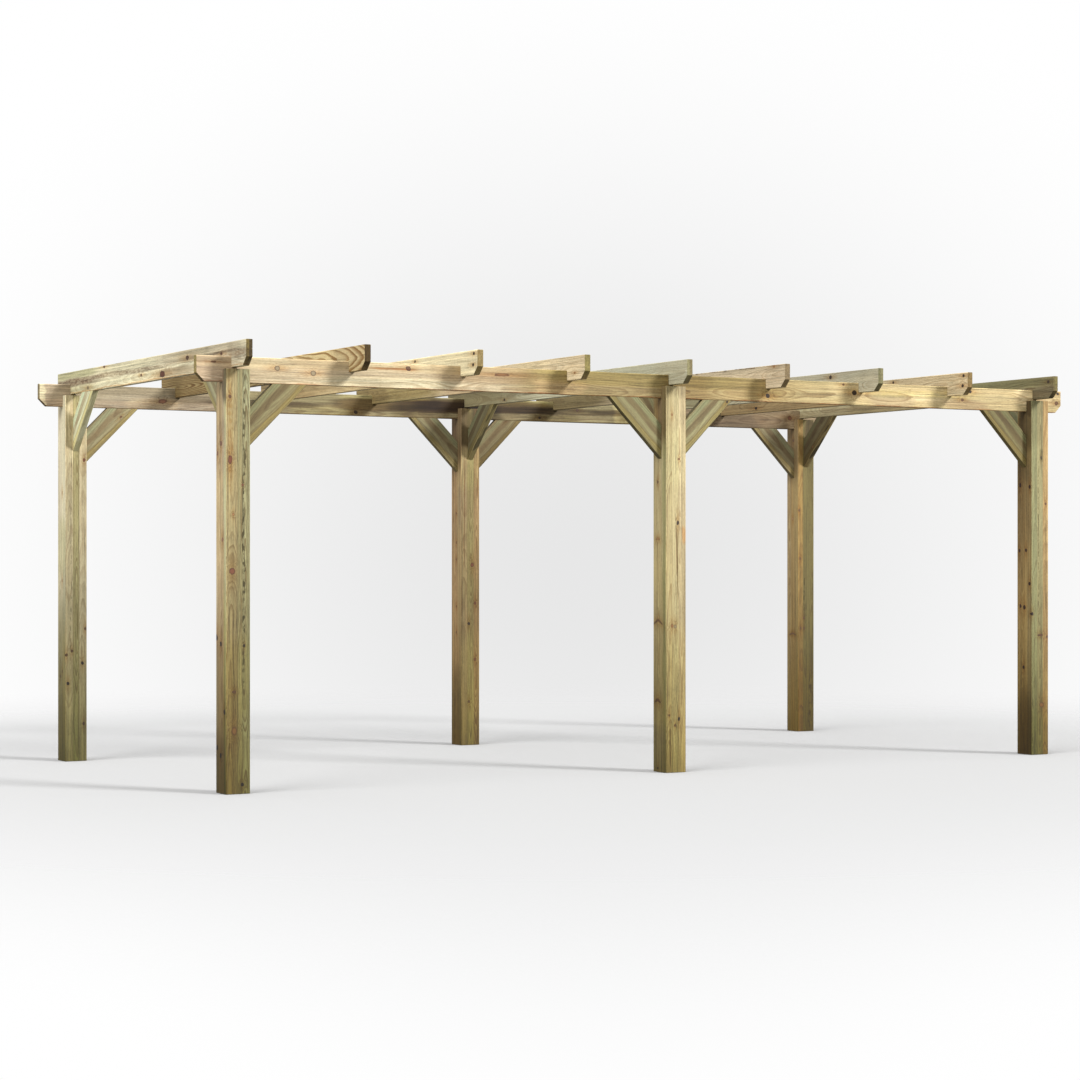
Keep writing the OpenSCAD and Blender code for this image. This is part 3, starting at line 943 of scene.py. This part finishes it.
# The beams, each one board.
BEAMS = {
    "front_beam": timber(
        7, [strip((0.52, 0.425, 0.27), (0.52, 0.43, 0.26), 0, (150, 60), 112, 6, 0.6, (-16, 6))],
        on("front", (33, 98, 7, "brown", 0.7, 2.2), (55, 472, 13, "grey"), (74, 686, 14, "grey"),
           (27, 1271, 13, "brown"), (40, 1869, 9, "orange", 1.0, 5.0), (102, 3717, 13, "dark"),
           (13, 4285, 7, "brown"), (62, 4369, 15, "dark"), (25, 5286, 10, "dark"), (80, 5223, 9, "brown"),
           (78, 6003, 12, "brown"), (15, 6014, 9, "dark")),
        on("front", (30, 1160, 5, 140, (0.75, 0.5, 0.36), 0.6, 0.0, 12),
           band(2900, 980, (0.6, 0.56, 0.4), 0.35), (30, 2860, 50, 720, (0.9, 0.9, 0.72), 0.4),
           band(4900, 1300, (0.95, 0.92, 0.74), 0.25), (110, 5450, 40, 450, (1.1, 1.1, 1.1), 0.7),
           (60, 4050, 90, 330, (0.84, 0.84, 0.8), 0.5), (55, 4850, 20, 500, (1.08, 1.08, 0.9), 0.7, 0.4),
           (30, 1750, 60, 330, (0.78, 0.72, 0.66), 0.5), (20, 720, 35, 180, (0.87, 0.82, 0.78), 0.6),
           (115, 1150, 30, 420, (1.1, 1.18, 1.2), 0.6), (105, 2250, 45, 170, (1.32, 1.24, 1.28), 0.5),
           # The lighter patches on the front face at along 3660, 3760, 4350, 4950 and 5820 are painted light
           # that lifts the rafter tails' cast shadows.
           band(3130, 170, (0.9, 0.83, 0.74), 0.6), (60, 3660, 90, 280, (1.08, 1.06, 1.06), 0.6),
           (60, 3760, 90, 130, (1.22, 1.22, 1.26), 0.5), (35, 4350, 60, 190, (1.15, 1.15, 1.2), 0.5),
           (115, 4650, 30, 170, (0.82, 0.8, 0.85), 0.5), (68, 4950, 32, 170, (1.2, 1.22, 1.3), 0.5),
           (115, 5250, 30, 170, (0.83, 0.78, 0.8), 0.5), (36, 5820, 60, 150, (1.45, 1.46, 1.58), 0.5),
           band(110, 170, (0.86, 0.8, 0.82), 0.5), (139, 3020, 3.5, 3200, (0.75, 0.5, 0.38), 0.5, 0.3)),
        tint_depth=60, ends=((1.55, 1.75, 1.3),),
        checks=on("front", (30, 1160, 130)),
    ),
    "rear_beam": timber(
        8, [strip((0.23, 0.185, 0.095), (0.24, 0.205, 0.105), 0, (150, 60), 90, 6, 0.6, (-12, 6))],
        on("front", (86, 815, 14, "brown", 1.0, 1.9), (114, 3592, 9, "dark"), (54, 3896, 9, "brown"),
           (116, 2180, 12, "dark"), (58, 5710, 16, "brown")),
        on("front", band(440, 800, (1.5, 1.5, 2.0), 0.2), band(60, 160, (1.25, 1.18, 1.15), 0.6),
           band(5, 30, (1.45, 1.6, 1.55), 0.5), (22, 560, 36, 380, (0.8, 0.78, 0.73), 0.5),
           (115, 750, 28, 170, (1.22, 1.21, 1.14), 0.5), (50, 1050, 48, 170, (0.64, 0.6, 0.54), 0.5),
           (45, 2250, 50, 170, (1.52, 1.55, 1.4), 0.5), (12, 2550, 22, 170, (1.6, 1.58, 1.2), 0.5),
           (75, 2550, 20, 170, (0.66, 0.65, 0.56), 0.5), (100, 3130, 60, 150, (0.34, 0.31, 0.23), 0.5),
           (14, 3450, 25, 170, (1.32, 1.34, 1.1), 0.5), (118, 3720, 26, 190, (0.78, 0.75, 0.62), 0.5),
           (14, 3740, 25, 150, (1.8, 1.85, 1.7), 0.5), band(4330, 140, (2.05, 2.05, 1.9), 0.4),
           band(5570, 150, (1.22, 1.2, 1.15), 0.5), band(5850, 150, (2.05, 2.1, 2.2), 0.4),
           band(5400, 900, (0.66, 0.57, 0.64), 0.2), (78, 1500, 16, 420, (0.42, 0.38, 0.36), 0.4, 0.0, 30),
           (64, 2620, 40, 620, (0.36, 0.28, 0.23), 0.4, 0.0, 30),
           (50, 3180, 44, 560, (0.4, 0.32, 0.26), 0.4, 0.0, 30),
           (66, 3760, 26, 520, (0.5, 0.46, 0.4), 0.5, 0.0, 30),
           (60, 2640, 80, 170, (0.62, 0.58, 0.5), 0.5, 0.0, 30),
           (110, 1950, 34, 240, (1.18, 1.22, 1.1), 0.5, 0.0, 30),
           (66, 4185, 16, 180, (0.5, 0.46, 0.42), 0.4, 0.0, 30),
           (138, 3020, 4, 3200, (0.7, 0.6, 0.5), 0.5, 0.3)),
        tint_depth=60,
    ),
}

# The rafters, each one board, from the left end of the pergola.
RAFTERS = {
    "rafter_1": timber(
        11, [strip((0.7, 0.63, 0.42), (0.72, 0.66, 0.44), 0, (90, 60), 60, 6, 0.4)],
        on("front", (45, 832, 12, "brown", 1.0, 1.8), (113, 1214, 18, "red", 1.0, 2.1),
           (57, 341, 8, "brown", 1.0, 1.8), (6, 2174, 9, "brown", 1.0, 1.8),
           (118, 2464, 9, "grey", 1.0, 1.8), (97, 1551, 8, "brown", 1.0, 1.8)),
        on("front", band(110, 140, (0.78, 0.77, 0.79), 0.5), band(380, 130, (1.2, 1.21, 1.26), 0.5),
           band(1130, 140, (1.14, 1.15, 1.18), 0.5), (26, 700, 36, 560, (0.62, 0.58, 0.56), 0.5),
           (62, 780, 9, 380, (0.86, 0.8, 0.76), 0.6, 0.5), (108, 980, 30, 300, (0.78, 0.78, 0.78), 0.5),
           (100, 330, 34, 260, (0.86, 0.84, 0.84), 0.6), (106, 980, 20, 300, (0.66, 0.6, 0.56), 0.6),
           (62, 240, 20, 260, (0.66, 0.56, 0.5), 0.6, 0.5),
           (68, 1500, 13, 330, (0.46, 0.4, 0.38), 0.7, 0.4),
           (60, 2050, 14, 300, (0.5, 0.42, 0.38), 0.7, 0.4),
           (70, 2700, 24, 420, (0.28, 0.21, 0.18), 0.7, 0.2), (20, 2700, 26, 400, (0.62, 0.64, 0.54), 0.7),
           (116, 2700, 22, 400, (0.7, 0.7, 0.64), 0.7), (30, 1950, 40, 520, (1.12, 1.12, 1.1), 0.5),
           (110, 1950, 24, 520, (1.12, 1.12, 1.1), 0.5),
           (134, 1500, 4, 1600, (0.8, 0.6, 0.45), 0.5, 0.3, 40)),
        tint_depth=30, ends=((0.21, 0.175, 0.12), (0.58, 0.52, 0.3)),
    ),
    "rafter_2": timber(
        12, [strip((0.42, 0.31, 0.15), (0.48, 0.375, 0.195), 0, (66, -190), 90, 8.5, 1.7, (3, 68))],
        on("front", (60, 1170, 9, "brown")),
        on("front", band(2000, 900, (0.62, 0.62, 0.55), 0.5), band(700, 280, (1.35, 1.36, 1.32), 0.6),
           band(2950, 260, (0.72, 0.71, 0.62), 0.5)),
        tint_depth=40, ends=((0.36, 0.32, 0.19), (0.33, 0.29, 0.15)), streaks=0.6,
    ),
    "rafter_3": timber(
        13, [strip((0.74, 0.65, 0.41), (0.73, 0.64, 0.4), 0, (80, 90), 60, 5, 0.4)],
        on("front", (20, 40, 9, "dark"), (83, 50, 10, "dark"), (17, 770, 8, "dark")),
        on("front", band(2300, 1300, (0.84, 0.74, 0.62), 0.6), band(2700, 650, (0.58, 0.55, 0.5), 0.6)),
        tint_depth=40, ends=((0.85, 0.79, 0.65),),
    ),
    "rafter_4": timber(
        14, [strip((0.66, 0.53, 0.335), (0.67, 0.55, 0.345), 0, (60, -120), 90, 5, 0.45, (2, 30))],
        on("front", (98, 114, 7, "orange")),
        on("front", band(2600, 800, (0.56, 0.55, 0.38), 0.5), band(2900, 350, (0.68, 0.64, 0.6), 0.6),
           band(600, 180, (1.14, 1.14, 1.1), 0.6), band(1500, 220, (0.82, 0.76, 0.7), 0.6),
           (96, 2250, 26, 480, (0.86, 0.82, 0.74), 0.7, 0.6)),
        tint_depth=40, ends=((0.79, 0.87, 0.6),),
    ),
    "rafter_5": timber(
        15, [strip((0.43, 0.42, 0.285), (0.43, 0.42, 0.295), 0, (80, 90), 90, 4, 0.5)],
        on("front", (118, 2218, 9, "dark")),
        on("front", band(2900, 950, (0.46, 0.4, 0.29), 0.9), band(60, 300, (0.89, 0.86, 0.84), 0.6)),
        tint_depth=40, ends=((1.15, 1.1, 1.05), (1.45, 1.53, 1.41)), streaks=0.7,
    ),
    "rafter_6": timber(
        16, [strip((0.57, 0.46, 0.3), (0.57, 0.47, 0.31), 0, (60, 80), 90, 5, 0.45)],
        on("front", (8, 114, 8, "orange")),
        on("front", band(2800, 880, (0.31, 0.29, 0.2), 0.6),
           (2, 900, 4, 800, (0.35, 0.28, 0.22), 0.5, 1.0, 6)),
        tint_depth=40,
    ),
    "rafter_7": timber(
        17, [strip((0.47, 0.43, 0.3), (0.48, 0.45, 0.32), 0, (90, 80), 90, 4, 0.6)],
        on("front", (27, 495, 12, "dark")),
        on("front", band(2500, 900, (0.55, 0.54, 0.43), 0.7), band(60, 300, (0.87, 0.87, 0.86), 0.6)),
        tint_depth=40, ends=((1.2, 1.3, 1.2), (0.9, 1.0, 0.86)), streaks=0.8,
    ),
    "rafter_8": timber(
        18, [strip((0.62, 0.5, 0.3), (0.63, 0.52, 0.32), 0, (60, 70), 90, 5, 0.6)],
        on("front", (20, 40, 9, "dark"), (83, 50, 10, "dark"), (20, 759, 8, "dark"),
           (107, 2334, 9, "dark", 1.0, 1.8)),
        on("front", band(2450, 1300, (0.43, 0.37, 0.28), 0.3)),
        tint_depth=40, ends=((0.89, 0.84, 0.68),),
    ),
    "rafter_9": timber(
        19, [strip((0.17, 0.14, 0.075), (0.18, 0.155, 0.085), 0, (60, 70), 90, 5, 0.6)],
        on("front", (34, 48, 10, "dark"), (129, 2915, 10, "dark")),
        on("front", (30, 1500, 34, 1600, (1.08, 1.2, 1.05), 0.5),
           (120, 1500, 34, 1600, (0.86, 0.8, 0.76), 0.5), band(2200, 1000, (1.95, 1.97, 1.97), 0.2),
           band(2550, 350, (1.15, 1.2, 1.3), 0.6)),
        tint_depth=40, ends=((2.7, 2.9, 2.6), (2.05, 2.15, 2.1)),
    ),
}

# Each brace: the level direction in which it rises from its post, its colour, and the tint of its lower long
# edge and underside, which is painted shade where it is below one and painted light where it is above one.
BRACES = {
    "front_left_beam_brace": (RIGHT, (0.17, 0.14, 0.065), 0.7),
    "front_middle_left_beam_brace": (-RIGHT, (0.175, 0.15, 0.07), 0.7),
    "front_middle_right_beam_brace": (RIGHT, (0.22, 0.19, 0.093), 0.7),
    "front_right_beam_brace": (-RIGHT, (0.135, 0.11, 0.045), 1.2),
    "rear_left_beam_brace": (RIGHT, (0.26, 0.22, 0.12), 0.8),
    "rear_middle_left_beam_brace": (-RIGHT, (0.185, 0.155, 0.08), 1.15),
    "rear_middle_right_beam_brace": (RIGHT, (0.16, 0.125, 0.06), 0.7),
    "rear_right_beam_brace": (-RIGHT, (0.19, 0.155, 0.082), 0.95),
    "front_left_rafter_brace": (BACK, (0.25, 0.225, 0.125), 0.7),
    "front_middle_rafter_brace": (BACK, (0.165, 0.132, 0.062), 0.7),
    "front_right_rafter_brace": (BACK, (0.125, 0.108, 0.055), 0.7),
    "rear_left_rafter_brace": (-BACK, (0.52, 0.5, 0.32), 0.84),
    "rear_middle_rafter_brace": (-BACK, (0.11, 0.093, 0.046), 2.2),
    "rear_right_rafter_brace": (-BACK, (0.073, 0.056, 0.025), 3.2),
}

BRACE_KNOTS = {
    "front_middle_right_beam_brace": on("front", (128, 482, 7, "dark")),
    "front_middle_left_beam_brace": on("front", (20, 30, 6, "dark")),
    "rear_middle_right_beam_brace": on("front", (60, 430, 6, "brown")),
    "rear_right_rafter_brace": on("front", (40, 470, 8, "dark"), (118, 180, 7, "brown")),
    "rear_left_beam_brace": on("front", (100, 390, 7, "brown")),
}


def brace_wood(seed, colour, edge, knots):
    """Green-tan wood in soft lengthwise bands: green, brown, pale, and olive towards the long edge, whose
    lower edge and underside are darkened as painted shade, or lightened as painted light, by the edge tint.
    """
    draw = random.Random(seed)
    sap = tuple(channel * 1.08 for channel in colour)
    middle = draw.uniform(56, 68)
    # The edge tint: painted shade on the lower edge and underside where below one, painted light where above
    # one.
    underside_shading_tint = (edge, edge * 0.97, edge * 0.86)
    bands = [(middle, 15, (0.78, 0.7, 0.66), 0.9), (middle - 38, 16, (1.05, 1.22, 1.24), 0.9),
             (middle + 30, 10, (1.16, 1.22, 1.24), 0.8), (115, 3.5, (0.82, 0.76, 0.62), 0.7),
             (128, 12, (1.15, 1.08, 0.8), 0.7), (BRACE_WIDTH / MM, 3, underside_shading_tint, 0.6)]
    stains_and_painted_light = [("front", across, 250, half, 520, tint, softness) for across, half, tint, softness in bands]
    board = strip(colour, sap, 0, (66, -90), 70, 7, 0.45, (6, 10))
    return timber(seed, [board], knots, stains_and_painted_light, tint_depth=60, streaks=0.6)


def make_pergola():
    beam_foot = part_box("front_beam")[0].z
    for node, wood in POSTS.items():
        place = post_place(node)
        wood["slot_depth"] = place.length - beam_foot
        wood["knots"] += scattered_knots(wood["seed"], ["back", "right"], place, 3)
        wood["foot"] = FOOT_SHADE
        wood["checks"] += scattered_checks(wood["seed"], place, ["back", "right"], 2)
        make_timber(node, place, wood)
    for node, wood in BEAMS.items():
        place = beam_place(node)
        wood["checks"] += scattered_checks(wood["seed"], place, ["back", "front"], 3)
        make_timber(node, place, wood)
    for node, wood in RAFTERS.items():
        place = rafter_place(node)
        wood["checks"] += scattered_checks(wood["seed"], place, ["front", "back"], 2)
        make_timber(node, place, wood)
    for seed, (node, (run, colour, edge)) in enumerate(BRACES.items(), 31):
        wood = brace_wood(seed, colour, edge, BRACE_KNOTS.get(node, []))
        make_timber(node, brace_place(node, run), wood)


# ---------------------------------------------------------------- studio

# Where the camera stands, in metres, and how it looks: degrees to the right of straight ahead, and level.
CAMERA_SPOT = (-8.193, -14.065, 1.265)
HEADING = 29.76
LENS = 84.87
RISE = 0.0177

# The floor: its paint as seen and as it lights the timber, and in metres its radius, where it fades out
# and how far under the feet it lies.
FLOOR_PAINT = (0.40, 0.40, 0.40)
FLOOR_BOUNCE = (0.10, 0.10, 0.09)
FLOOR_RADIUS = 14.0
FLOOR_FADE = (2.5, 9.5)
FLOOR_DROP = 1 * MM

LIGHT_DISTANCE = 12

# The surround: its light at the horizon and above, and its whiteness behind the pergola and aside.
DOME = (0.5, 1.1)
SURROUND = (0.80, 1.0)


def make_camera():
    camera = bpy.data.cameras.new("studio_camera")
    camera.lens = LENS
    camera.sensor_width = 36.0
    camera.shift_y = RISE
    camera.clip_end = 400.0
    holder = bpy.data.objects.new("studio_camera", camera)
    holder.location = CAMERA_SPOT
    holder.rotation_euler = (math.radians(90), 0, -math.radians(HEADING))
    bpy.context.scene.collection.objects.link(holder)
    bpy.context.scene.camera = holder


def make_floor():
    """A pale floor that fades out well past the pergola, so that it has no far edge."""
    shape = bmesh.new()
    bmesh.ops.create_circle(shape, cap_ends=True, segments=96, radius=FLOOR_RADIUS)
    mesh = bpy.data.meshes.new("studio_floor")
    shape.to_mesh(mesh)
    shape.free()
    floor = bpy.data.objects.new("studio_floor", mesh)
    bpy.context.scene.collection.objects.link(floor)
    floor.location.z = -FLOOR_DROP
    material = bpy.data.materials.new("studio_floor")
    material.use_nodes = True
    material.node_tree.nodes.clear()
    wire = Wiring(material.node_tree)
    place = wire.node("ShaderNodeTexCoord").outputs["Object"]
    far = wire.ease(wire.vector("LENGTH", place), *FLOOR_FADE)
    seen = wire.node("ShaderNodeLightPath").outputs["Is Camera Ray"]
    paint = wire.node("ShaderNodeBsdfDiffuse", Color=wire.blend(seen, FLOOR_BOUNCE, FLOOR_PAINT))
    clear = wire.node("ShaderNodeBsdfTransparent")
    cover = wire.node("ShaderNodeMixShader", Fac=far)
    wire.feed(cover.inputs[1], paint.outputs[0])
    wire.feed(cover.inputs[2], clear.outputs[0])
    output = wire.node("ShaderNodeOutputMaterial")
    wire.feed(output.inputs["Surface"], cover.outputs[0])
    mesh.materials.append(material)


def make_backdrop():
    """A pale surround: nearly white where it is seen, and softer as light."""
    world = bpy.data.worlds.new("studio")
    world.use_nodes = True
    world.node_tree.nodes.clear()
    wire = Wiring(world.node_tree)
    direction = wire.node("ShaderNodeTexCoord").outputs["Generated"]
    up = wire.parts(direction)["Z"]
    heading = math.radians(HEADING + 1.0)
    middle = (math.sin(heading), math.cos(heading), 0.0)
    apart = wire.vector("MULTIPLY", wire.vector("SUBTRACT", direction, middle), (1, 1, 1.25))
    seen = wire.ease(wire.vector("LENGTH", apart), 0.0, 0.3, *SURROUND)
    lit = wire.ease(up, -0.1, 0.9, *DOME)
    camera_ray = wire.node("ShaderNodeLightPath").outputs["Is Camera Ray"]
    strength = wire.math("ADD", wire.math("MULTIPLY", camera_ray, seen),
                        wire.math("MULTIPLY", wire.math("SUBTRACT", 1.0, camera_ray), lit))
    background = wire.node("ShaderNodeBackground", Color=(1.0, 1.0, 1.0), Strength=strength)
    output = wire.node("ShaderNodeOutputWorld")
    wire.feed(output.inputs["Surface"], background.outputs[0])
    bpy.context.scene.world = world


def add_sun(name, azimuth, elevation, strength, spread):
    """A broad soft light; azimuth is from the front towards the right, and all angles are in degrees."""
    light = bpy.data.lights.new(name, "SUN")
    light.energy = strength
    light.angle = math.radians(spread)
    holder = bpy.data.objects.new(name, light)
    turn, height = math.radians(azimuth), math.radians(elevation)
    level = math.cos(height)
    towards = Vector((math.sin(turn) * level, -math.cos(turn) * level, math.sin(height)))
    holder.rotation_euler = towards.to_track_quat("Z", "Y").to_euler()
    holder.location = towards * LIGHT_DISTANCE
    bpy.context.scene.collection.objects.link(holder)


def make_studio():
    make_camera()
    make_floor()
    make_backdrop()
    add_sun("key_light", 34, 28, 4.05, 14)
    add_sun("left_light", -70, 40, 2.5, 40)
    bpy.context.scene.view_settings.view_transform = "Standard"


make_pergola()
make_studio()
